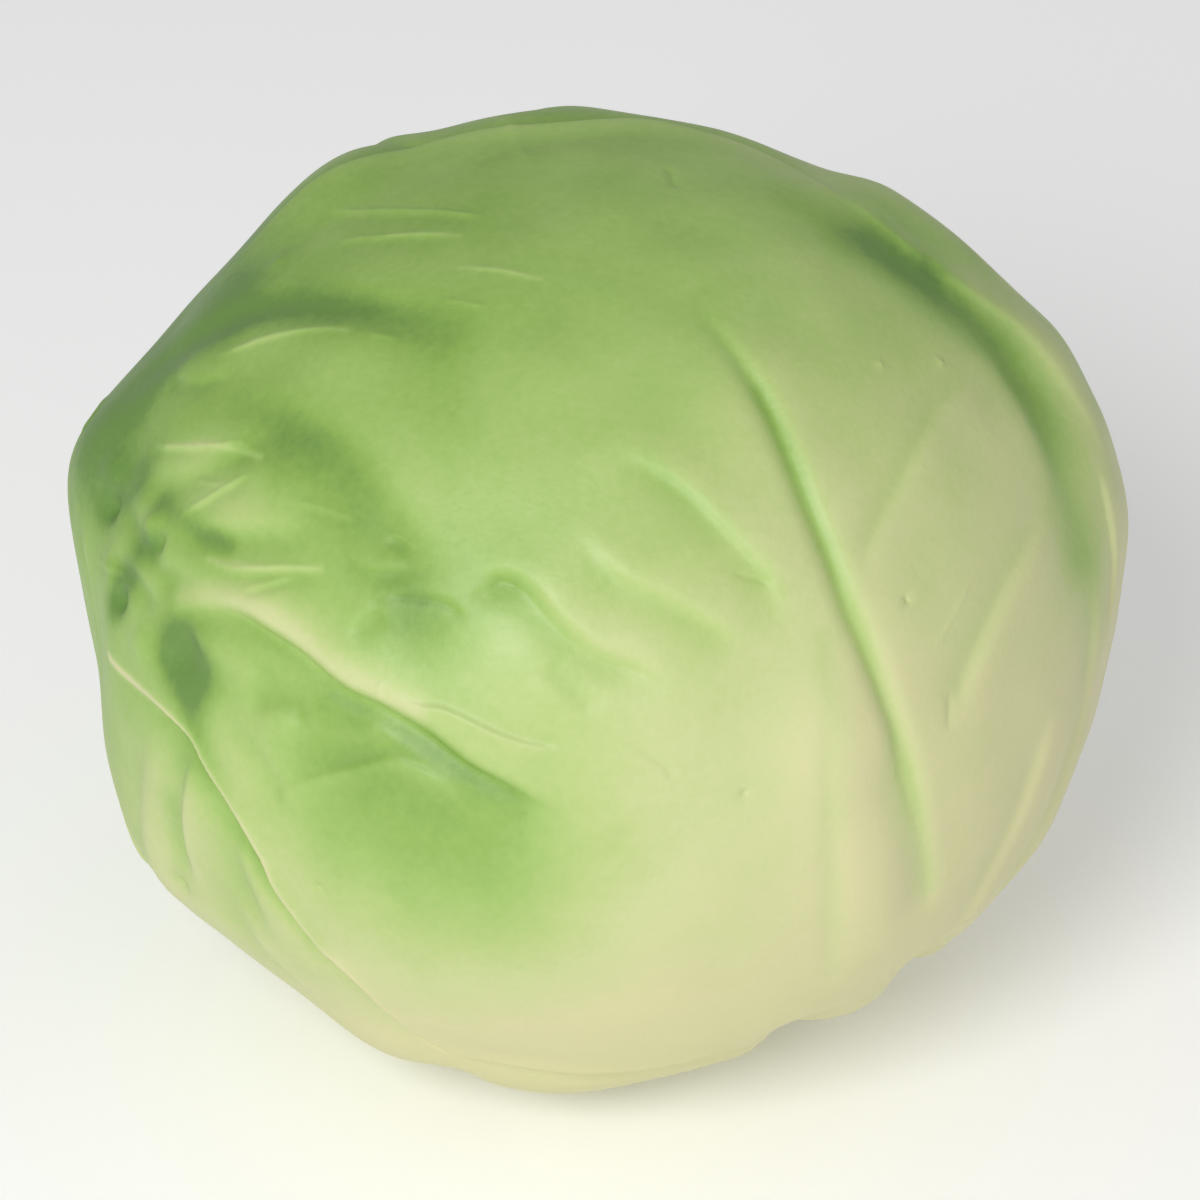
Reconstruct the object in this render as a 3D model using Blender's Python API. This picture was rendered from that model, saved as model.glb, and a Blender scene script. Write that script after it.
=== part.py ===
"""Foam cabbage: a hand-sized squeezable head, moulded in one piece and resting on a small flat spot.

Places on the head are given as (turn, rise) in degrees, seen from its middle. Turn goes round from the
front (-Y) towards +X, and rise goes up from level.
"""

import math

import bmesh
import bpy
import numpy as np

MM = 0.001

# Half the head's width, depth and height before the leaves swell out of it.
HALF_WIDTH = 37.0 * MM
HALF_DEPTH = 36.6 * MM
HALF_HEIGHT = 33.3 * MM
MEAN_RADIUS = 35.5 * MM

# The flat spots: the underside is pressed level, and the stem is a cut disc.
REST_PRESS = 1.1 * MM
STEM_PLACE = (81, -51)
STEM_PRESS = 1.0 * MM

# The icosphere's subdivision, which gives cells of about 2.7 mm.
FINENESS = 5

FOAM_COLOUR = (0.37, 0.49, 0.18, 1.0)
FOAM_ROUGHNESS = 0.55

# How the skin rises and falls along a run of places: half width, height (a valley's is negative), places.
# A pair of half widths is for a valley with a steep and a slow side: (right of the run, left of it).
LEAF_BULGES = [
    # right shoulder, from behind the top down the flank
    (7.5 * MM, 1.6 * MM, [(77, 30), (101, 19), (122, 5)]),
    (5.5 * MM, 1.0 * MM, [(71, 19), (94, 7), (116, -6)]),
    (5.5 * MM, 0.9 * MM, [(128, 56), (114, 46), (102, 34), (94, 22)]),
    # left shoulder, from the gather back
    (5.5 * MM, 1.8 * MM, [(-74, 24), (-98, 13), (-119, 0)]),
    (6.0 * MM, 1.4 * MM, [(-92, 61), (-129, 47), (-147, 27)]),
    # the lower leaf, round the left and under the front
    (6.0 * MM, 1.0 * MM, [(-51, -12), (-72, -28), (-99, -40)]),
    (5.5 * MM, 1.2 * MM, [(-24, -31), (-40, -53), (-82, -69)]),
    (6.0 * MM, 1.4 * MM, [(-6, -35), (-10, -60), (-40, -82)]),
    # behind the top
    (9.0 * MM, 0.8 * MM, [(-170, 80), (-163, 60), (-163, 35)]),
]
VALLEYS = [
    # across the upper left shoulder
    (5.0 * MM, -0.4 * MM, [(-86, 36), (-113, 34), (-140, 28)]),
    # where the leaves gather
    (5.5 * MM, -1.1 * MM, [(-66, 10), (-86, -6), (-110, -16)]),
    # under the lower left leaf
    ((2.8 * MM, 1.6 * MM), -1.6 * MM, [(-22, -40), (-24, -62), (-60, -80)]),
    # two leaf edges on the underside
    ((1.8 * MM, 4.5 * MM), -2.4 * MM, [(27, -30), (30, -40), (36, -54), (52, -72)]),
    ((1.8 * MM, 4.5 * MM), -2.1 * MM, [(44, -24), (48, -34), (55, -44), (75, -58)]),
    # right flank
    (6.0 * MM, -0.3 * MM, [(60, -6), (82, -13), (110, -18)]),
    # behind the top
    (5.0 * MM, -0.3 * MM, [(100, 62), (144, 54), (160, 40)]),
]
RIBS_AND_FOLDS = [
    # along the front leaf's rib
    (1.8 * MM, -0.5 * MM, [(30, 49), (30, 37), (31, 24), (34, 10), (36, -2), (38, -9)]),
    # the long fold from the gather across the front
    (1.8 * MM, -0.6 * MM, [(-50, 18), (-39, 19), (-28, 16), (-18, 13), (-9, 9), (-2, 6)]),
    # the front leaf's left edge
    (1.8 * MM, -0.4 * MM, [(-61, 5), (-48, 4), (-40, -3), (-37, -10), (-31, -20), (-20, -37)]),
    # inside the right shoulder's edge
    (3.0 * MM, -0.6 * MM, [(90, 50), (82, 39), (75, 30), (68, 23)]),
    # the ribs of the back leaf and of the leaf beneath, from the stem round to the gather
    (2.4 * MM, 0.5 * MM, [(104, -38), (126, -22), (150, -4), (174, 12), (-162, 24), (-138, 30), (-116, 28)]),
    (2.4 * MM, 0.5 * MM, [(70, -72), (10, -84), (-76, -72), (-88, -50), (-90, -28), (-88, -8)]),
    # the edges of the leaves behind
    (2.0 * MM, -0.4 * MM, [(96, 58), (124, 62), (156, 70), (-160, 74), (-128, 66), (-108, 52), (-98, 34)]),
    (2.0 * MM, -0.4 * MM, [(108, -58), (140, -56), (176, -54), (-146, -46), (-124, -30), (-108, -12), (-98, 4)]),
]


def toward(place):
    """The unit vector to a place."""
    turn, rise = (math.radians(angle) for angle in place)
    return np.array([math.sin(turn) * math.cos(rise), -math.cos(turn) * math.cos(rise), math.sin(rise)])


def smooth_run(places, steps=8):
    """Unit vectors along a smooth curve through the places."""
    points = [toward(place) for place in places]
    points = [2 * points[0] - points[1]] + points + [2 * points[-1] - points[-2]]
    run = []
    for before, start, end, after in zip(points, points[1:], points[2:], points[3:]):
        for t in np.arange(steps) / steps:
            bend = 2 * before - 5 * start + 4 * end - after
            twist = 3 * start - before - 3 * end + after
            run.append(start + 0.5 * ((end - before) * t + bend * t**2 + twist * t**3))
    run = np.array(run + [points[-2]])
    return run / np.linalg.norm(run, axis=1)[:, None]


def along(directions, places):
    """Each direction's signed distance from the run (positive to its left), and how far along it lies."""
    run = smooth_run(places)
    nearest = np.full(len(directions), np.inf)
    side = np.ones(len(directions))
    share = np.zeros(len(directions))
    for index, (start, end) in enumerate(zip(run, run[1:])):
        step = end - start
        t = np.clip((directions - start) @ step / (step @ step), 0, 1)
        away = directions - start - t[:, None] * step
        distance = np.linalg.norm(away, axis=1)
        closer = distance < nearest
        nearest[closer] = distance[closer]
        side[closer] = np.sign(away[closer] @ np.cross(start, step))
        share[closer] = (index + t[closer]) / (len(run) - 1)
    return nearest * side * MEAN_RADIUS, share


def fade_at_ends(share, end=0.25):
    t = np.clip(np.minimum(share, 1 - share) / end, 0, 1)
    return t * t * (3 - 2 * t)


def head_radius(directions):
    """How far the skin is from the head's middle along each direction."""
    half = np.array([HALF_WIDTH, HALF_DEPTH, HALF_HEIGHT])
    radius = 1 / np.linalg.norm(directions / half, axis=1)
    for half_width, height, places in LEAF_BULGES + VALLEYS + RIBS_AND_FOLDS:
        distance, share = along(directions, places)
        right, left = half_width if isinstance(half_width, tuple) else (half_width, half_width)
        across = distance / np.where(distance > 0, left, right)
        radius += height * np.exp(-(across**2)) * fade_at_ends(share)
    return radius


def press_flat(points, axis, depth):
    """Presses the skin in to a plane square to the axis, so many metres inside the furthest point."""
    reach = points @ axis
    plane = reach.max() - depth
    over = np.clip(reach - plane, 0, None)
    return points - over[:, None] * axis


def foam_material():
    material = bpy.data.materials.new("painted_foam")
    material.use_nodes = True
    shader = material.node_tree.nodes["Principled BSDF"]
    shader.inputs["Base Color"].default_value = FOAM_COLOUR
    shader.inputs["Roughness"].default_value = FOAM_ROUGHNESS
    shader.inputs["Metallic"].default_value = 0.0
    return material


def foam_cabbage():
    """The whole moulding. Its origin is under the middle of its box, on the surface it rests on."""
    shape = bmesh.new()
    bmesh.ops.create_icosphere(shape, subdivisions=FINENESS, radius=1.0)
    directions = np.array([vertex.co for vertex in shape.verts])
    directions /= np.linalg.norm(directions, axis=1)[:, None]
    points = directions * head_radius(directions)[:, None]
    points = press_flat(points, toward(STEM_PLACE), STEM_PRESS)
    points = press_flat(points, np.array([0.0, 0.0, -1.0]), REST_PRESS)
    low, high = points.min(axis=0), points.max(axis=0)
    points -= [(low[0] + high[0]) / 2, (low[1] + high[1]) / 2, low[2]]
    for vertex, point in zip(shape.verts, points):
        vertex.co = point
    mesh = bpy.data.meshes.new("foam_cabbage")
    shape.to_mesh(mesh)
    shape.free()
    mesh.shade_smooth()
    mesh.materials.append(foam_material())
    cabbage = bpy.data.objects.new("foam_cabbage", mesh)
    bpy.context.scene.collection.objects.link(cabbage)


def main():
    for old in list(bpy.data.objects):
        bpy.data.objects.remove(old, do_unlink=True)
    foam_cabbage()


main()
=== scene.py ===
"""Foam cabbage: the finished look of a squeezable head, moulded in one piece and sprayed green over cream.

Places on the head are (turn, rise) in degrees, seen from its middle. Turn goes round from the front (-Y)
towards +X, and rise goes up from level. Relief, with its widths and reaches, and sizes with MM in their name
are in millimetres. Other sizes are in metres.
"""

import math

import bmesh
import bpy
import numpy as np
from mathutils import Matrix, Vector


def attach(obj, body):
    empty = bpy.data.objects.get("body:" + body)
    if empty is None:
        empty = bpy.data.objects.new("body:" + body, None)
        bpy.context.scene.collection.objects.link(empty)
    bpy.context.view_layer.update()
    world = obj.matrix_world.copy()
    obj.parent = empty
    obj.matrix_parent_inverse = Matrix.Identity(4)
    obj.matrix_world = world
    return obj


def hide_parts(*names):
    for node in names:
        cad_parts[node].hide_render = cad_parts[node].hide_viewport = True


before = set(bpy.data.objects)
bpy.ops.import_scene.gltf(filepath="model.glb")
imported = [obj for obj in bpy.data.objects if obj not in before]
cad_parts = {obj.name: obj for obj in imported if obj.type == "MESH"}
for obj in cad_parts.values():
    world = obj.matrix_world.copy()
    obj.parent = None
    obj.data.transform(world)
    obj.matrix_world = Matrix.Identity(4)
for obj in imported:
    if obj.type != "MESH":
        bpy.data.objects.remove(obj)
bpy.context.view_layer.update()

MM = 0.001

# The head's broad form before its leaves, the same as in the construction model: an ellipsoid that is
# pressed flat at the stem and where it rests.
HALF_SIZE_MM = np.array([37.0, 36.6, 33.3])
MEAN_RADIUS_MM = 35.5
REST_PRESS_MM = 1.1
STEM_PLACE = (81, -51)
STEM_PRESS_MM = 1.0

# Relief is given as runs of places. Each run has waves across it: (offset, half width, height).
# A positive offset is to the left of the run, seen from outside, and a negative height is a valley.
# A pair of half widths is for a wave with a steep and a slow side: (right of its top, left of it).

LEAF_BULGES = [
    # right shoulder, from behind the top down the flank
    ([(77, 30), (101, 19), (122, 5)], [(0, 7.5, 1.6)]),
    ([(71, 19), (94, 7), (116, -6)], [(0, 5.5, 1.0)]),
    ([(128, 56), (114, 46), (102, 34), (94, 22)], [(0, 5.5, 0.9)]),
    # left shoulder, from the gather back
    ([(-74, 24), (-98, 13), (-119, 0)], [(0, 5.5, 1.8)]),
    ([(-92, 61), (-129, 47), (-147, 27)], [(0, 6.0, 1.4)]),
    # the lower leaf, round the left and under the front
    ([(-51, -12), (-72, -28), (-99, -40)], [(0, 6.0, 1.0)]),
    ([(-24, -31), (-40, -53), (-82, -69)], [(0, 5.5, 1.2)]),
    ([(-6, -35), (-10, -60), (-40, -82)], [(0, 6.0, 1.4)]),
    # behind the top
    ([(-170, 80), (-163, 60), (-163, 35)], [(0, 9.0, 0.8)]),
]

VALLEYS = [
    # across the upper left shoulder
    ([(-86, 36), (-113, 34), (-140, 28)], [(0, 5.0, -0.4)]),
    # where the leaves gather
    ([(-66, 10), (-86, -6), (-110, -16)], [(0, 5.5, -1.1)]),
    # under the lower left leaf
    ([(-22, -40), (-24, -62), (-60, -80)], [(0, (2.8, 1.2), -1.6)]),
    # two leaf edges on the underside, slighter than the construction model's
    ([(27, -30), (30, -40), (36, -54), (52, -72)], [(0, (1.4, 3.4), -1.9)]),
    ([(44, -24), (48, -34), (55, -44), (75, -58)], [(0, (1.4, 3.4), -1.7)]),
    # right flank
    ([(60, -6), (82, -13), (110, -18)], [(0, 6.0, -0.3)]),
    # behind the top
    ([(100, 62), (144, 54), (160, 40)], [(0, 5.0, -0.3)]),
]

FRONT_LEAF_VEINS = [
    # the crease beside the rib, from the top down to the stem end
    (
        [(24, 66), (28, 57), (30, 49), (30, 43), (30, 37), (30.5, 31), (31, 24.5), (32.5, 17.5),
         (34, 10.5), (36, 3), (38, -6)],
        [(0.1, (0.8, 0.45), -0.46), (1.6, (1.0, 2.8), 0.26), (-1.9, (2.6, 1.0), 0.18)],
    ),
    ([(33, 12), (35, 4), (37, -3), (39, -10), (41, -17)], [(-0.2, (2.4, 0.8), -0.55)]),
    # the rib's body, and the faint border on its other side
    ([(27, 26), (28, 10), (31, -4), (35, -16), (40, -28)], [(-1.0, 3.4, 0.55)]),
    ([(26, 18), (25, 8), (25.5, -4), (27, -16), (30, -26)], [(0, (0.9, 0.7), -0.16)]),
    # side veins right of the rib
    (
        [(71, 23), (61.5, 21), (54.5, 19), (48.5, 15.5), (44, 11.5), (40.5, 8)],
        [(-0.5, (1.6, 0.5), -0.26), (0.9, (0.7, 2.0), 0.18)],
    ),
    ([(42, 12.5), (40.5, 8)], [(0, 0.3, -0.10)]),
    (
        [(76, 39), (63.5, 39.5), (54.5, 38.5), (44, 34.5), (37, 30.5), (33.5, 27.5)],
        [(-0.3, (1.2, 0.4), -0.17), (0.8, (0.7, 1.8), 0.14)],
    ),
    ([(49, 22.5), (45, 20), (40, 17)], [(0, 0.24, 0.06)]),
    # side veins left of the rib
    (
        [(1.5, 46.5), (8.5, 44), (13.5, 41), (17.5, 36.5), (21, 32), (22.5, 28.5), (23.5, 23)],
        [(-0.8, (1.6, 0.5), -0.26), (0.6, (0.5, 1.8), 0.18), (0.05, 0.24, 0.04)],
    ),
    ([(17, 31), (22.5, 29)], [(0, 0.28, -0.07)]),
    (
        [(-5, 38.5), (2, 32), (5.5, 30), (10, 28), (14.5, 25), (17.5, 23)],
        [(-0.2, (1.6, 0.5), -0.22), (1.0, (0.7, 1.8), 0.14)],
    ),
    (
        [(-16, 31), (-12, 31.5), (-8, 30.5), (-4, 27), (0.5, 24), (5, 22.5), (10, 19)],
        [(-0.6, (1.5, 0.45), -0.32), (0.6, (0.5, 1.8), 0.22)],
    ),
    ([(-6, 22.5), (-3, 20), (0.5, 16.5)], [(0.2, 0.8, -0.14), (-1.0, 0.9, 0.07)]),
    ([(3.5, 14), (7, 11.5), (8, 9.5)], [(0.2, 0.3, -0.07), (-0.3, 0.4, 0.04)]),
    ([(-23, -4.5), (-21, -6), (-17.5, -7.5)], [(0, 0.8, -0.10)]),
    ([(0.5, 4.5), (4.5, 1), (10, -4.5)], [(0, 1.6, -0.10)]),
    ([(58, 5), (54, -5), (50, -16), (48, -28)], [(0, (2.0, 0.9), -0.22), (1.4, (1.0, 2.4), 0.14)]),
    ([(72, 14), (68, 0), (63, -13), (58, -27)], [(0, (2.2, 0.9), -0.26), (1.5, (1.0, 2.4), 0.16)]),
    ([(12, -6), (15, -18), (20, -32)], [(0, 2.2, -0.18)]),
]

GATHERED_FOLDS = [
    # the long fold, a sharp crease under a rounded rim
    (
        [(-56, 16), (-49.5, 19), (-44, 20), (-39, 19.5), (-34, 18.5), (-28.5, 16.5), (-23.5, 15.5),
         (-18, 13.5), (-13.5, 11), (-9, 9), (-5, 7), (-1, 5)],
        [(-0.2, (0.9, 0.4), -0.50), (1.1, (0.7, 2.2), 0.42), (-2.6, (3.2, 1.4), -0.12)],
    ),
    ([(-27, 14), (-22, 12), (-17, 10), (-12, 8)], [(-0.4, (1.0, 1.2), 0.26)]),
    ([(-52, 15), (-45, 15.5), (-38, 14)], [(0, (1.6, 0.8), 0.34)]),
    # the thin wrinkle beside it, with its tick
    (
        [(-23.5, 17), (-19.5, 16.5), (-16, 16.5), (-10, 14.5), (-5.5, 13.5), (-2.5, 13.5)],
        [(0.4, (0.3, 0.9), -0.10), (-0.05, 0.24, 0.11), (-1.2, (1.2, 0.8), -0.12)],
    ),
    ([(-24, 18.5), (-24, 16)], [(0, 0.22, 0.08)]),
    # the arched wrinkle under it
    (
        [(-37, 1), (-31.5, 5.5), (-26.5, 8), (-22.5, 10), (-20, 10), (-16.5, 9), (-12, 6.5)],
        [(0.5, (0.35, 1.2), -0.16), (-0.1, (0.9, 0.25), 0.12)],
    ),
    ([(-26, 7.5), (-23, 6.5), (-20, 6)], [(0, 0.3, 0.05)]),
    ([(-28.5, 12.5), (-25, 11)], [(0, 0.35, 0.08)]),
    ([(-40, 11.5), (-36, 13), (-32, 12)], [(0, (0.5, 1.0), -0.22), (-1.2, 1.0, 0.16)]),
    # short marks above it
    ([(-29, 22), (-27, 24), (-25.5, 25.5)], [(0, (0.9, 0.4), -0.17), (0.9, 0.9, 0.10)]),
    (
        [(-26, 27), (-22, 27.5), (-18, 27.5), (-15, 26)],
        [(0, 0.3, -0.13), (0.6, (0.5, 1.2), 0.10), (-2.0, 1.8, -0.12)],
    ),
    ([(-16, 28), (-13, 29.5), (-11, 31), (-8, 30)], [(0, (0.9, 0.4), -0.12)]),
    # forked wrinkle
    (
        [(-52.5, 23.5), (-48, 24), (-43.5, 25.5), (-39, 27), (-33, 28)],
        [(0.05, 0.24, 0.12), (-0.6, (1.2, 0.4), -0.22)],
    ),
    ([(-38, 26.5), (-41.5, 24.5), (-45, 22.5)], [(0, 0.24, 0.08), (0.4, 0.3, -0.08)]),
    # trough above the fork
    (
        [(-62, 23), (-55, 26), (-50, 27.5), (-45, 29.5), (-37, 31)],
        [(0.8, (0.6, 1.8), 0.20), (-0.8, (1.3, 0.7), -0.34)],
    ),
    # wrinkles that spread from the gather
    (
        [(-74, 28.5), (-69, 30), (-60.5, 34), (-56.5, 36), (-51.5, 36)],
        [(0, 0.24, 0.11), (-0.6, (0.9, 0.4), -0.14)],
    ),
    (
        [(-51, 34.5), (-54, 31.5), (-56.5, 28.5), (-59.5, 25.5)],
        [(0, 0.24, 0.11), (0.5, (0.35, 0.9), -0.13)],
    ),
    ([(-61, 29.5), (-54, 31.5)], [(0, 0.22, 0.08)]),
    ([(-43, 33.5), (-38, 34), (-32.5, 34)], [(0, 0.24, 0.09), (-0.4, 0.4, -0.06)]),
    ([(-28, 33.5), (-25.5, 33.5), (-23, 32.5)], [(0, 0.24, 0.09), (-0.5, 0.5, -0.12)]),
    ([(-75.5, 12.5), (-66, 15.5)], [(0, 0.25, 0.10), (-0.4, 0.3, -0.10)]),
    ([(-70, 24), (-64, 27), (-58, 32), (-50, 39)], [(0, (1.4, 1.0), -0.34), (1.8, 1.6, 0.18)]),
    ([(-73, 21), (-66, 20), (-58, 19), (-50, 21)], [(0, (1.1, 0.8), -0.34), (1.5, 1.2, 0.20)]),
    ([(-72, 15), (-64, 16), (-57, 15)], [(0, (0.9, 0.8), -0.34), (1.2, 1.1, 0.22)]),
    # short creases across the puckered middle
    ([(-34, 30), (-28, 29), (-22, 30.5)], [(0, (0.9, 0.35), -0.16), (0.9, 0.9, 0.09)]),
    ([(-44, 9), (-38, 6), (-33, 0)], [(0, (1.2, 0.6), -0.16), (1.2, 1.0, 0.10)]),
    ([(-80, 34), (-74, 36), (-66, 41)], [(0, (1.0, 0.4), -0.18), (1.1, 1.0, 0.10)]),
    ([(-82, 14), (-78, 8), (-75, 0)], [(0, (1.0, 0.6), -0.26), (1.2, 1.0, 0.18)]),
    # the soft edge of the smooth top
    (
        [(-66, 37), (-55, 40.5), (-48.5, 41), (-38.5, 41), (-30, 37), (-23, 33), (-16, 31)],
        [(-0.6, (2.6, 1.4), -0.24), (1.8, (1.2, 3.0), 0.20)],
    ),
]

# Where the front leaf's thin lip lies free, down its left edge.
FRONT_LEAF_LIP = [
    (-54.5, 5.5), (-48.5, 4.5), (-46, 2.5), (-42.5, -0.5), (-40, -3), (-38, -6.5), (-37, -10),
    (-35, -13.5), (-33, -17.5), (-31, -19.5), (-28.5, -23.5), (-26, -31), (-23.5, -34.5),
]

LEAF_EDGES = [
    # the front leaf's left edge, a thin lip over the lower leaf
    (
        [(-72, 5), (-61, 5.5), *FRONT_LEAF_LIP, (-18, -38)],
        [(0.1, (0.18, 0.8), 0.36), (-0.5, (1.8, 0.3), -0.52), (1.6, (1.2, 3.0), 0.16)],
    ),
    # the open stretch of it
    (
        [(-41, -1), (-37.5, -9), (-35, -13.5), (-31, -20)],
        [(-0.35, 0.24, -0.75), (-1.8, (1.6, 0.8), 0.34)],
    ),
    ([(-28.5, -23.5), (-26, -30), (-23.5, -34), (-20, -37.5)], [(-0.25, 0.22, -0.26)]),
    # its lower edge, over the leaf below
    (
        [(-22, -37), (-10, -39), (0, -40), (12, -38.5), (22, -37), (34, -43)],
        [(0.1, (0.2, 1.2), 0.14), (-0.6, (1.4, 0.4), -0.24)],
    ),
    # grooves of the lower leaf
    (
        [(-48.5, 3.5), (-50, -3), (-51.5, -9.5), (-52, -18)],
        [(-0.5, (1.6, 0.5), -0.38), (0.6, (0.4, 1.4), 0.22)],
    ),
    ([(-44.5, 2), (-42.5, -3.5), (-42.5, -8.5), (-42, -15.5), (-42.5, -24)], [(0, (1.6, 0.9), -0.40)]),
    ([(-56, 2), (-60, -8), (-62, -18), (-62, -28)], [(0, (1.6, 0.7), -0.26), (1.2, 1.6, 0.18)]),
    ([(-46, -14), (-45, -24), (-42, -34)], [(0, (1.4, 0.8), -0.22), (1.2, 1.4, 0.12)]),
    # the thin edge on the left flank
    ([(-91, 18.5), (-93, 21), (-97, 22)], [(0, 0.25, 0.16)]),
    # the ridge round the right shoulder, with the hollow inside it
    (
        [(112, 62), (99.5, 56.5), (92.5, 52), (90.5, 48), (90.5, 42.5), (90, 36.5), (87.5, 31),
         (86, 25), (84, 17)],
        [(0.2, (0.6, 2.4), 0.32), (-2.6, (4.0, 1.8), -0.38)],
    ),
    ([(81.5, 21), (79.5, 15), (78, 8.5), (74, 3)], [(0, (1.6, 0.3), -0.18), (0.7, (0.3, 1.4), 0.08)]),
    ([(82.5, 39), (78, 35), (75, 29.5), (73, 25), (66, 20)], [(-1.6, (2.2, 1.4), 0.26)]),
]

TOP_VEINS = [
    ([(-100, 56), (-91, 63), (-71, 72), (-56.5, 75)], [(0, 0.25, 0.10), (-0.8, (1.2, 0.5), -0.08)]),
    ([(-84, 58), (-73.5, 64.5), (-55, 70.5)], [(0, 0.25, 0.10), (-0.8, (1.2, 0.5), -0.08)]),
    (
        [(-75, 39.5), (-71, 43), (-67.5, 46.5), (-60.5, 50.5), (-53, 53)],
        [(0, 0.26, 0.11), (0.8, (0.5, 1.2), -0.08)],
    ),
    ([(-49, 54), (-42, 55)], [(0, 0.24, 0.08)]),
    ([(-42, 66.5), (-30, 68), (-17, 68)], [(0, 0.24, 0.08)]),
    ([(-40, 61.5), (-26.5, 62.5)], [(0, 0.24, 0.07)]),
    (
        [(-86, 22), (-88, 30), (-84, 39), (-79, 46), (-70, 52), (-58, 56), (-44, 58), (-28, 58)],
        [(0, (2.0, 1.2), -0.40), (-2.8, (3.0, 1.6), 0.22)],
    ),
    ([(-157, 61.5), (-140.5, 75), (-113, 81.5)], [(0, 0.5, 0.10)]),
    ([(112, 80.5), (73, 80)], [(0, 0.4, -0.12)]),
]

# The leaves behind: a rib each from the stem round to the gather, with side veins, and their edges.
BACK_RIBS = [
    [(104, -38), (126, -22), (150, -4), (174, 12), (-162, 24), (-138, 30), (-116, 28)],
    [(70, -72), (10, -84), (-76, -72), (-88, -50), (-90, -28), (-88, -8)],
]
BACK_RIB_WAVES = [(0, 2.2, 0.45), (2.6, (1.0, 1.6), -0.22), (-2.6, (1.6, 1.0), -0.22)]
BACK_VEINS = [
    [(128, -20), (126, -2), (116, 16), (108, 30)],
    [(146, -6), (146, 14), (138, 32), (124, 46)],
    [(166, 8), (170, 26), (168, 44), (150, 60)],
    [(-170, 20), (-164, 36), (-166, 52), (180, 66)],
    [(-150, 28), (-142, 42), (-134, 56), (-120, 68)],
    [(138, -14), (158, -26), (172, -36), (-176, -50)],
    [(160, 2), (178, -10), (-166, -24), (-154, -40)],
    [(-178, 14), (-162, 4), (-148, -10), (-138, -28)],
    [(-154, 26), (-140, 18), (-128, 4), (-118, -12)],
    [(-80, -72), (-114, -68), (-134, -56)],
    [(-88, -50), (-108, -46), (-124, -34)],
    [(-84, -64), (-62, -54), (-52, -42)],
    [(-90, -38), (-74, -28), (-66, -18)],
    [(96, -24), (106, -10), (104, 4)],
    [(70, -66), (20, -70), (-10, -62), (-22, -50)],
]
BACK_VEIN_WAVES = [(-0.5, (1.4, 0.6), -0.18), (0.8, (0.7, 1.8), 0.14)]
BACK_EDGES = [
    [(96, 58), (124, 62), (156, 70), (-160, 74), (-128, 66), (-108, 52), (-98, 34)],
    [(108, -58), (140, -56), (176, -54), (-146, -46), (-124, -30), (-108, -12), (-98, 4)],
    [(32, -56), (-10, -72), (-60, -66), (-74, -46), (-72, -26), (-76, -6)],
]
BACK_EDGE_WAVES = [(0.1, (0.3, 2.0), 0.30), (-0.7, (1.8, 0.5), -0.36)]

# Ribs that spread from the stem's cut disc: how many, the places on each, and how far out from the disc's
# middle they start and end.
STEM_RIBS = 11
STEM_RIB_PLACES = 3
STEM_RIB_FROM_MM = 7.0
STEM_RIB_TO_MM = 15.0
STEM_RIB_WAVES = [(0, 1.3, 0.34)]

# Small round marks: place, reach, height.
DIMPLES = [
    ((-75.5, 19), 0.9, -0.8),
    ((-61.5, 21.5), 0.8, -0.7),
    ((-65.5, 12.5), 0.9, -0.7),
    ((-50.5, 13), 1.5, -0.55),
    ((-53, 11), 1.2, -0.3),
    ((90.5, 48), 0.8, -0.4),
    ((-55, -18.5), 0.7, -0.4),
]
PUFFS = [
    ((-78, 22.5), 1.3, 0.5),
    ((-70, 15), 1.3, 0.45),
    ((-59, 10.5), 1.2, 0.5),
    ((-63.5, 23), 1.0, 0.4),
    ((-36, 10.5), 1.6, 0.3),
    ((-88, 51), 0.7, 0.25),
    ((55, 47.5), 0.25, 0.14),
    ((-34.5, 2.5), 0.6, 0.20),
    ((67, 43), 0.3, 0.16),
    ((-24.5, 3), 0.8, 0.18),
]
PINHOLES = [(-7.5, 6), (-30.5, -7.5), (38.5, 23.5), (16, 7.5)]
PINHOLE_REACH_MM = 0.2
PINHOLE_DEPTH_MM = 0.25

# The even coat of green: how much lies on the cream at each angle from the stem, in degrees.
COAT_ANGLES = [50, 75, 100, 120, 140, 180]
COAT_COVER = [0.0, 0.18, 0.41, 0.60, 0.71, 0.78]
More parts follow.
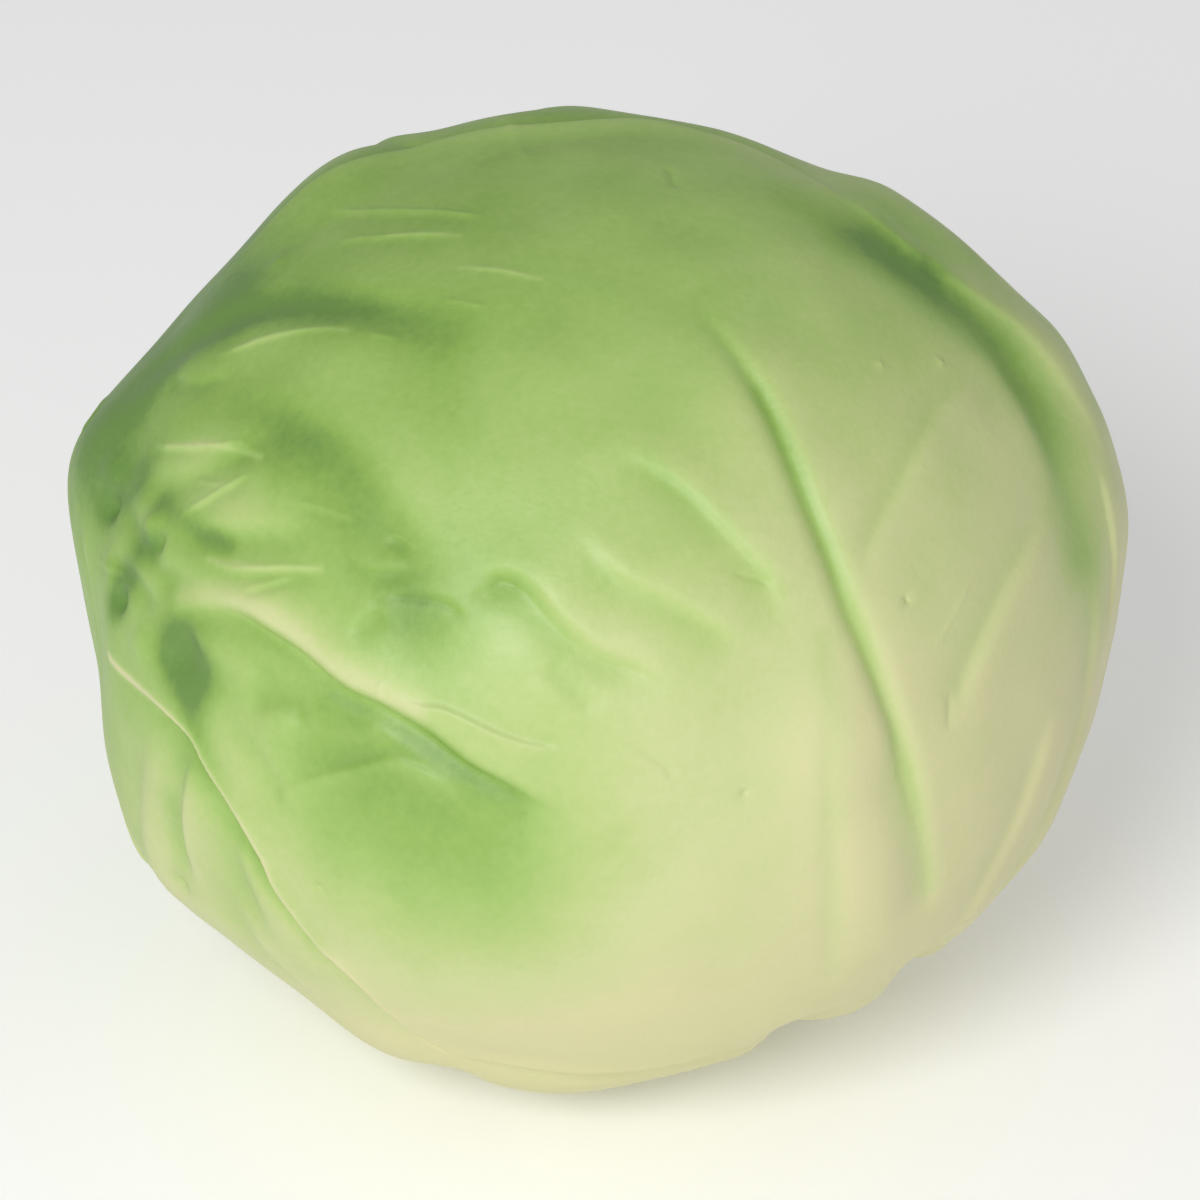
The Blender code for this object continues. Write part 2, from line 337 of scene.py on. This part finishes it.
# Sprayed on by hand after it: places, reach, amount. A negative amount was left paler. Along the long fold
# they
# also paint its light: a painted highlight on the rim and painted shade in the crease under it.
SPRAYS_AND_PAINTED_LIGHT = [
    # front
    ([(-22, 5), (-12, 1)], 7.4, 0.36),
    ([(-17, -11), (-13, -12)], 6.0, 0.10),
    # greener in the crease under the long fold: paint gathered there, and painted shade
    ([(-30, 14.5), (-18, 11), (-9, 7)], 1.2, 0.10),
    ([(-66, 36), (-50, 40), (-38, 37), (-31, 33), (-24, 29)], 3.4, 0.13),
    ([(-22, 27), (-17, 27), (-10, 31)], 2.6, 0.12),
    ([(-23, 24), (-20, 23)], 3.0, 0.08),
    # where the leaves gather
    ([(-62, 31), (-50, 30)], 3.2, -0.18),
    ([(-64, 25), (-50, 26)], 1.0, 0.22),
    # paler along the long fold's rim: thinner paint there, and a painted highlight
    ([(-54, 18.5), (-46, 21), (-38, 21), (-30, 18.5), (-20, 16)], 1.1, -0.28),
    ([(-52, 13), (-49, 12)], 2.7, 0.36),
    ([(-49, 9), (-47, 2)], 1.8, 0.12),
    ([(-77, 20), (-72, 24)], 2.0, 0.32),
    ([(-67, 11), (-64, 20)], 1.4, 0.24),
    ([(-84, 22), (-90, 30), (-88, 42)], 4.5, 0.28),
    ([(-82, 30), (-78, 44), (-69, 51), (-52, 55), (-34, 57)], 2.8, 0.15),
    ([(-100, 30), (-112, 40)], 7.0, 0.18),
    # right shoulder
    ([(88, 54), (84, 43), (80, 33), (76, 25), (72, 16)], 3.8, 0.44),
    ([(72, 12), (70, 4)], 3.0, 0.12),
    ([(82, 60), (90, 66)], 3.0, 0.15),
    ([(104, 50), (100, 38), (95, 24)], 4.5, 0.22),
    ([(50, 52), (62, 48)], 4.0, 0.08),
    # down the veins
    ([(30, 50), (31, 30), (33, 14), (37, -2), (40, -12)], 0.8, 0.14),
    ([(26.5, 22), (25.5, 6), (26, -6), (29, -20)], 1.0, 0.16),
    ([(8.5, 44), (17.5, 36.5), (22.5, 28.5)], 0.7, 0.10),
    # lower leaf and underside
    ([(-60, -34), (-36, -40), (-12, -32), (10, -26)], 6.5, -0.18),
    ([(-54, -8), (-58, -20)], 5.0, -0.14),
    ([(-33, -17), (-38, -8), (-43, 0), (-49, 8)], 1.2, 0.16),
    ([(-53, -6), (-54, -16)], 0.9, 0.14),
    # behind
    ([(150, 30), (178, 40)], 9.0, 0.16),
    ([(-130, 0), (-118, 14)], 8.0, 0.20),
    ([(-150, -24), (-128, -34)], 6.0, 0.12),
]
# Creases hold more paint and high edges less, and the creases also get painted shade and the high edges a
# painted highlight: the cover for each millimetre of relief, and the most.
CREASE_PAINT_AND_SHADE = 0.35
MOST_CREASE_PAINT_AND_SHADE = 0.14
# Paint that gathers in the dimples, with painted shade there too, and how many of their reaches it spreads
# over.
DIMPLE_PAINT_AND_SHADE = 0.22
DIMPLE_PAINT_AND_SHADE_REACHES = 1.5
# Lips and wrinkles rubbed paler: places, reach, amount. On the wrinkles' crests it is also a painted
# highlight.
LIP_WEAR_AND_HIGHLIGHT = [
    ([(-66, 5.5), *FRONT_LEAF_LIP], 0.32, -0.60),
    ([(-42, 66.5), (-30, 68), (-17, 68)], 0.25, -0.12),
    ([(-73.5, 64.5), (-55, 70.5)], 0.25, -0.12),
    ([(-71, 43), (-60.5, 50.5), (-53, 53)], 0.25, -0.14),
    ([(-52, 23.5), (-43.5, 25.5), (-35, 28)], 0.25, -0.16),
    ([(-69, 30), (-60.5, 34), (-51.5, 36)], 0.25, -0.16),
]

# Puckering of the leaves all over.
PUCKER_SEED = 5
PUCKER_WAVES = 60
PUCKER_LENGTHS_MM = (6.0, 16.0)
PUCKER_HEIGHT_MM = 0.065

# The mesh: an icosphere, subdivided again beside narrow relief. Each pass has how far it reaches beside a
# wave or mark, and the half width or reach that is too broad to need it.
FINENESS = 7
CLOSER_PASSES = [(1.0, 1.05), (0.45, 0.45)]

# Past this many half widths a wave isn't felt.
WAVE_REACHES = 2.8
# The share of a run over which its relief fades in at either end.
END_FADE = 0.25
# Steps from one place of a run to the next, and the fewer that show roughly where it lies.
RUN_STEPS = 8
ROUGH_RUN_STEPS = 2

# Paint colours, from bare cream to the thickest green: cover, colour.
COLOUR_STEPS = [
    (0.00, (0.610, 0.590, 0.315)),
    (0.25, (0.520, 0.570, 0.262)),
    (0.45, (0.410, 0.520, 0.180)),
    (0.65, (0.300, 0.455, 0.114)),
    (0.80, (0.225, 0.375, 0.070)),
    (1.00, (0.120, 0.240, 0.042)),
]
# Unevenness of the spray: waves to the metre, detail, and how much cover it spans.
MOTTLE_SCALE = 180
MOTTLE_DETAIL = 3
MOTTLE_COVER = 0.22
SPECKLE_SCALE = 1500
SPECKLE_DETAIL = 2
SPECKLE_COVER = 0.12
# Satin skin: its least and most roughness. Its grain: waves to the metre, detail, height and strength.
SATIN_ROUGHNESS = (0.40, 0.56)
GRAIN_SCALE = 2200
GRAIN_DETAIL = 2
GRAIN_HEIGHT = 0.00004
GRAIN_STRENGTH = 0.6

WHITE = (1.0, 1.0, 1.0, 1.0)

# The sheet of paper it rests on.
PAPER_HALF_SIZE = 2.0
PAPER_COLOUR = (0.94, 0.94, 0.94, 1.0)
PAPER_ROUGHNESS = 0.9
PAPER_GLOW = 0.14

# The camera's rise in degrees, lens, distance, and how far right of and below the head's middle it aims.
CAMERA_RISE = 30
CAMERA_LENS_MM = 180
CAMERA_DISTANCE = 0.429
CAMERA_RIGHT_MM = 0.36
CAMERA_BELOW_MM = 0.5
CAMERA_CLIP_START = 0.01

# Round lamps: name, place from the head's middle, size and power in watts.
LAMPS = [
    ("key", (-0.17, -0.48, 0.34), 0.26, 2.3),
    ("fill", (0.30, -0.50, 0.14), 0.40, 0.25),
]
# The strength of the white light from all round.
SURROUND_STRENGTH = 0.46


def toward(place):
    """The unit vector to a place."""
    turn, rise = (math.radians(angle) for angle in place)
    return np.array([math.sin(turn) * math.cos(rise), -math.cos(turn) * math.cos(rise), math.sin(rise)])


def smooth_run(places, steps=RUN_STEPS):
    """Unit vectors along a smooth curve through the places."""
    points = [toward(place) for place in places]
    points = [2 * points[0] - points[1]] + points + [2 * points[-1] - points[-2]]
    run = []
    for before, start, end, after in zip(points, points[1:], points[2:], points[3:]):
        for t in np.arange(steps) / steps:
            bend = 2 * before - 5 * start + 4 * end - after
            twist = 3 * start - before - 3 * end + after
            run.append(start + 0.5 * ((end - before) * t + bend * t**2 + twist * t**3))
    run = np.array(run + [points[-2]])
    return run / np.linalg.norm(run, axis=1)[:, None]


def along(directions, places):
    """Each direction's signed distance from the run in millimetres, and its share of the way along it."""
    run = smooth_run(places)
    nearest = np.full(len(directions), np.inf)
    side = np.ones(len(directions))
    share = np.zeros(len(directions))
    for index, (start, end) in enumerate(zip(run, run[1:])):
        step = end - start
        t = np.clip((directions - start) @ step / (step @ step), 0, 1)
        away = directions - start - t[:, None] * step
        distance = np.linalg.norm(away, axis=1)
        closer = distance < nearest
        nearest[closer] = distance[closer]
        side[closer] = np.sign(away[closer] @ np.cross(start, step))
        share[closer] = (index + t[closer]) / (len(run) - 1)
    return nearest * side * MEAN_RADIUS_MM, share


def fade_at_ends(share):
    """From 0 at either end of a run to 1 along most of it."""
    t = np.clip(np.minimum(share, 1 - share) / END_FADE, 0, 1)
    return t * t * (3 - 2 * t)


def angle_mm(directions, place):
    """Distance over the skin from a place."""
    return np.arccos(np.clip(directions @ toward(place), -1, 1)) * MEAN_RADIUS_MM


def near_run(directions, places, reach_mm):
    """The indices of the directions that lie near enough to a run to feel it."""
    run = smooth_run(places, ROUGH_RUN_STEPS)
    middle = run.mean(axis=0)
    middle /= np.linalg.norm(middle)
    spread = np.arccos(np.clip((run @ middle).min(), -1, 1)) + reach_mm / MEAN_RADIUS_MM
    return np.nonzero(directions @ middle > math.cos(min(spread, math.pi)))[0]


def wave_reach(offset, width):
    """How far from its run a wave is felt."""
    return abs(offset) + WAVE_REACHES * np.max(width)


def run_relief(directions, runs):
    """The height that the runs' waves add along each direction."""
    relief = np.zeros(len(directions))
    for places, waves in runs:
        reach = max(wave_reach(offset, width) for offset, width, _ in waves)
        near = near_run(directions, places, reach)
        distance, share = along(directions[near], places)
        ends = fade_at_ends(share)
        for offset, width, height in waves:
            right, left = width if isinstance(width, tuple) else (width, width)
            across = distance - offset
            shape = np.exp(-((across / np.where(across > 0, left, right)) ** 2))
            relief[near] += height * shape * ends
    return relief


def mark_relief(directions, marks):
    """The height that small round marks add along each direction."""
    relief = np.zeros(len(directions))
    for place, reach, height in marks:
        relief += height * np.exp(-((angle_mm(directions, place) / reach) ** 2))
    return relief


def pucker(directions):
    """Gentle unevenness: many level waves laid over each other at random."""
    random = np.random.default_rng(PUCKER_SEED)
    total = np.zeros(len(directions))
    for _ in range(PUCKER_WAVES):
        heading = random.normal(size=3)
        heading /= np.linalg.norm(heading)
        length = random.uniform(*PUCKER_LENGTHS_MM)
        start = random.uniform(0, 2 * math.pi)
        total += np.cos(directions @ heading * MEAN_RADIUS_MM * 2 * math.pi / length + start)
    return total * PUCKER_HEIGHT_MM / math.sqrt(PUCKER_WAVES / 2)


def stem_ribs():
    """Short ribs that spread from the stem's disc on to the leaves."""
    stem = toward(STEM_PLACE)
    aside = np.cross(stem, [0.0, 0.0, 1.0])
    aside /= np.linalg.norm(aside)
    upward = np.cross(aside, stem)
    runs = []
    for index in range(STEM_RIBS):
        angle = 2 * math.pi * index / STEM_RIBS
        heading = math.cos(angle) * aside + math.sin(angle) * upward
        places = []
        for out_mm in np.linspace(STEM_RIB_FROM_MM, STEM_RIB_TO_MM, STEM_RIB_PLACES):
            distance = out_mm / MEAN_RADIUS_MM
            x, y, z = math.cos(distance) * stem + math.sin(distance) * heading
            places.append((math.degrees(math.atan2(x, -y)), math.degrees(math.asin(z))))
        runs.append((places, STEM_RIB_WAVES))
    return runs


FRONT_RUNS = FRONT_LEAF_VEINS + GATHERED_FOLDS + LEAF_EDGES + TOP_VEINS
BACK_RUNS = (
    [(places, BACK_RIB_WAVES) for places in BACK_RIBS]
    + [(places, BACK_VEIN_WAVES) for places in BACK_VEINS]
    + [(places, BACK_EDGE_WAVES) for places in BACK_EDGES]
    + stem_ribs()
)
FINE_RUNS = FRONT_RUNS + BACK_RUNS
PINHOLE_MARKS = [(place, PINHOLE_REACH_MM, -PINHOLE_DEPTH_MM) for place in PINHOLES]


def head_radius(directions, fine_relief):
    """How far the skin is from the head's middle along each direction, in millimetres."""
    radius = 1 / np.linalg.norm(directions / HALF_SIZE_MM, axis=1)
    radius += run_relief(directions, LEAF_BULGES + VALLEYS) + fine_relief
    radius += mark_relief(directions, DIMPLES + PUFFS)
    radius += mark_relief(directions, PINHOLE_MARKS)
    return radius + pucker(directions)


def press_flat(points, axis, depth):
    """Presses the skin in to a plane square to the axis, so many millimetres inside the furthest point."""
    reach = points @ axis
    plane = reach.max() - depth
    return points - np.clip(reach - plane, 0, None)[:, None] * axis


def unit_directions(shape):
    """The direction of each vertex from the middle."""
    directions = np.array([vertex.co for vertex in shape.verts])
    return directions / np.linalg.norm(directions, axis=1)[:, None]


def subdivide_near(shape, runs, marks, reach_mm):
    """Halves the edges that lie within reach of the runs' waves and the marks."""
    directions = unit_directions(shape)
    close = np.zeros(len(directions), bool)
    for places, waves in runs:
        near = near_run(directions, places, reach_mm)
        distance, _ = along(directions[near], places)
        for offset, _, _ in waves:
            close[near[np.abs(distance - offset) < reach_mm]] = True
    for place, reach, _ in marks:
        close |= angle_mm(directions, place) < reach + reach_mm / 2
    shape.verts.ensure_lookup_table()
    edges = [edge for edge in shape.edges if all(close[end.index] for end in edge.verts)]
    bmesh.ops.subdivide_edges(shape, edges=edges, cuts=1)
    bmesh.ops.triangulate(shape, faces=shape.faces[:])
    shape.verts.index_update()


def head_mesh():
    """A ball, finest beside narrow relief, and the direction of each of its vertices."""
    shape = bmesh.new()
    bmesh.ops.create_icosphere(shape, subdivisions=FINENESS, radius=1.0)
    for reach, too_broad in CLOSER_PASSES:
        runs = []
        for places, waves in FINE_RUNS:
            narrow = [wave for wave in waves if np.min(wave[1]) < too_broad]
            if narrow:
                runs.append((places, narrow))
        marks = [mark for mark in DIMPLES + PUFFS + PINHOLE_MARKS if mark[1] < too_broad]
        subdivide_near(shape, runs, marks, reach)
    mesh = bpy.data.meshes.new("cabbage_skin")
    directions = unit_directions(shape)
    shape.to_mesh(mesh)
    shape.free()
    return mesh, directions


def paint_and_shade_cover(directions, fine_relief):
    """How much green lies on the cream, from 0 to 1, with painted shade in creases and dimples and painted
    highlights on crests.
    """
    from_stem = np.degrees(np.arccos(np.clip(directions @ toward(STEM_PLACE), -1, 1)))
    cover = np.interp(from_stem, COAT_ANGLES, COAT_COVER)
    # Worn lips with painted highlights on wrinkle crests, and sprays with painted light and shade along the
    # long fold.
    for places, reach, amount in SPRAYS_AND_PAINTED_LIGHT + LIP_WEAR_AND_HIGHLIGHT:
        near = near_run(directions, places, WAVE_REACHES * reach)
        distance, _ = along(directions[near], places)
        cover[near] += amount * np.exp(-((distance / reach) ** 2))
    # Dimples painted greener: paint that gathers there, and painted shade.
    for place, reach, _ in DIMPLES:
        spread = DIMPLE_PAINT_AND_SHADE_REACHES * reach
        cover += DIMPLE_PAINT_AND_SHADE * np.exp(-((angle_mm(directions, place) / spread) ** 2))
    # Painted shade in the creases and painted highlight on the high edges, with the paint that gathers
    # there.
    cover -= np.clip(CREASE_PAINT_AND_SHADE * fine_relief, -MOST_CREASE_PAINT_AND_SHADE, MOST_CREASE_PAINT_AND_SHADE)
    return np.clip(cover, 0, 1)


def add_attribute(mesh, name, values):
    """Gives each vertex a value that a material can read by name."""
    attribute = mesh.attributes.new(name, "FLOAT", "POINT")
    attribute.data.foreach_set("value", values.astype(np.float32))


def noise(nodes, links, place, scale, detail):
    """Noise from 0 to 1 that stays with the object's own places."""
    texture = nodes.new("ShaderNodeTexNoise")
    texture.inputs["Scale"].default_value = scale
    texture.inputs["Detail"].default_value = detail
    links.new(place, texture.inputs["Vector"])
    return texture.outputs["Fac"]


def spread_noise(nodes, links, value, amount):
    """The noise, made to go from half the amount below nothing to half of it above."""
    centred = nodes.new("ShaderNodeMath")
    centred.operation = "MULTIPLY_ADD"
    centred.inputs[1].default_value = amount
    centred.inputs[2].default_value = -amount / 2
    links.new(value, centred.inputs[0])
    return centred.outputs["Value"]


def add_values(nodes, links, first, second):
    total = nodes.new("ShaderNodeMath")
    total.operation = "ADD"
    links.new(first, total.inputs[0])
    links.new(second, total.inputs[1])
    return total.outputs["Value"]


def painted_foam():
    """The foam's own skin, cream under an uneven spray of green, with painted shade and painted highlights
    in its cover.
    """
    material = bpy.data.materials.new("painted_foam_skin")
    material.use_nodes = True
    nodes = material.node_tree.nodes
    links = material.node_tree.links
    shader = nodes["Principled BSDF"]
    place = nodes.new("ShaderNodeTexCoord").outputs["Object"]
    # The green cover, with painted shade in creases and dimples and painted highlights on crests.
    cover = nodes.new("ShaderNodeAttribute")
    cover.attribute_name = "paint_and_shade_cover"
    mottle = noise(nodes, links, place, MOTTLE_SCALE, MOTTLE_DETAIL)
    speckle = noise(nodes, links, place, SPECKLE_SCALE, SPECKLE_DETAIL)
    mottled = spread_noise(nodes, links, mottle, MOTTLE_COVER)
    speckled = spread_noise(nodes, links, speckle, SPECKLE_COVER)
    amount = add_values(nodes, links, cover.outputs["Fac"], mottled)
    amount = add_values(nodes, links, amount, speckled)
    ramp = nodes.new("ShaderNodeValToRGB")
    while len(ramp.color_ramp.elements) < len(COLOUR_STEPS):
        ramp.color_ramp.elements.new(0.5)  # moved to its own step below
    for element, (position, colour) in zip(ramp.color_ramp.elements, COLOUR_STEPS):
        element.position = position
        element.color = (*colour, 1.0)
    links.new(amount, ramp.inputs["Fac"])
    links.new(ramp.outputs["Color"], shader.inputs["Base Color"])
    satin = nodes.new("ShaderNodeMapRange")
    satin.inputs["To Min"].default_value, satin.inputs["To Max"].default_value = SATIN_ROUGHNESS
    links.new(mottle, satin.inputs["Value"])
    links.new(satin.outputs["Result"], shader.inputs["Roughness"])
    grain = nodes.new("ShaderNodeBump")
    grain.inputs["Distance"].default_value = GRAIN_HEIGHT
    grain.inputs["Strength"].default_value = GRAIN_STRENGTH
    links.new(noise(nodes, links, place, GRAIN_SCALE, GRAIN_DETAIL), grain.inputs["Height"])
    links.new(grain.outputs["Normal"], shader.inputs["Normal"])
    return material


def foam_cabbage():
    """Makes the cabbage, and gives the place of its head's middle."""
    mesh, directions = head_mesh()
    fine_relief = run_relief(directions, FINE_RUNS)
    points = directions * head_radius(directions, fine_relief)[:, None]
    points = press_flat(points, toward(STEM_PLACE), STEM_PRESS_MM)
    points = press_flat(points, np.array([0.0, 0.0, -1.0]), REST_PRESS_MM)
    low, high = points.min(axis=0), points.max(axis=0)
    middle = -np.array([(low[0] + high[0]) / 2, (low[1] + high[1]) / 2, low[2]])
    points = (points + middle) * MM
    mesh.vertices.foreach_set("co", points.astype(np.float32).ravel())
    add_attribute(mesh, "paint_and_shade_cover", paint_and_shade_cover(directions, fine_relief))
    mesh.update()
    mesh.shade_smooth()
    mesh.materials.append(painted_foam())
    cabbage = bpy.data.objects.new("cabbage_skin", mesh)
    bpy.context.scene.collection.objects.link(cabbage)
    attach(cabbage, "root")
    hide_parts("foam_cabbage")
    return Vector(middle * MM)


def set_floor():
    """A wide sheet of pale paper under the cabbage."""
    shape = bmesh.new()
    bmesh.ops.create_grid(shape, x_segments=1, y_segments=1, size=PAPER_HALF_SIZE)
    mesh = bpy.data.meshes.new("studio_floor")
    shape.to_mesh(mesh)
    shape.free()
    floor = bpy.data.objects.new("studio_floor", mesh)
    bpy.context.scene.collection.objects.link(floor)
    material = bpy.data.materials.new("pale_paper")
    material.use_nodes = True
    shader = material.node_tree.nodes["Principled BSDF"]
    shader.inputs["Base Color"].default_value = PAPER_COLOUR
    shader.inputs["Roughness"].default_value = PAPER_ROUGHNESS
    shader.inputs["Emission Color"].default_value = WHITE
    shader.inputs["Emission Strength"].default_value = PAPER_GLOW
    mesh.materials.append(material)


def aim(thing, place, target):
    """Puts a lamp or the camera at a place and turns it to the target."""
    thing.location = place
    thing.rotation_euler = (target - thing.location).to_track_quat("-Z", "Y").to_euler()


def area_light(name, from_middle, size, power, target):
    """A round lamp that shines on the target."""
    lamp = bpy.data.lights.new(name, "AREA")
    lamp.shape = "DISK"
    lamp.size = size
    lamp.energy = power
    thing = bpy.data.objects.new(name, lamp)
    bpy.context.scene.collection.objects.link(thing)
    aim(thing, target + Vector(from_middle), target)


def set_camera(middle):
    """A long lens from the front, looking down on the head."""
    rise = math.radians(CAMERA_RISE)
    up = Vector((0, math.sin(rise), math.cos(rise)))
    toward_camera = Vector((0, -math.cos(rise), math.sin(rise)))
    target = middle + Vector((CAMERA_RIGHT_MM * MM, 0, 0)) - up * CAMERA_BELOW_MM * MM
    camera = bpy.data.cameras.new("camera")
    camera.lens = CAMERA_LENS_MM
    camera.clip_start = CAMERA_CLIP_START
    thing = bpy.data.objects.new("camera", camera)
    bpy.context.scene.collection.objects.link(thing)
    aim(thing, target + toward_camera * CAMERA_DISTANCE, target)
    bpy.context.scene.camera = thing


def set_light(middle):
    """A soft white surround, a key lamp at the left and a faint fill at the right."""
    world = bpy.data.worlds.new("studio")
    world.use_nodes = True
    background = world.node_tree.nodes["Background"]
    background.inputs["Color"].default_value = WHITE
    background.inputs["Strength"].default_value = SURROUND_STRENGTH
    bpy.context.scene.world = world
    for name, from_middle, size, power in LAMPS:
        area_light(name, from_middle, size, power, middle)
    bpy.context.scene.view_settings.view_transform = "Standard"


head_middle = foam_cabbage()
set_floor()
set_camera(head_middle)
set_light(head_middle)
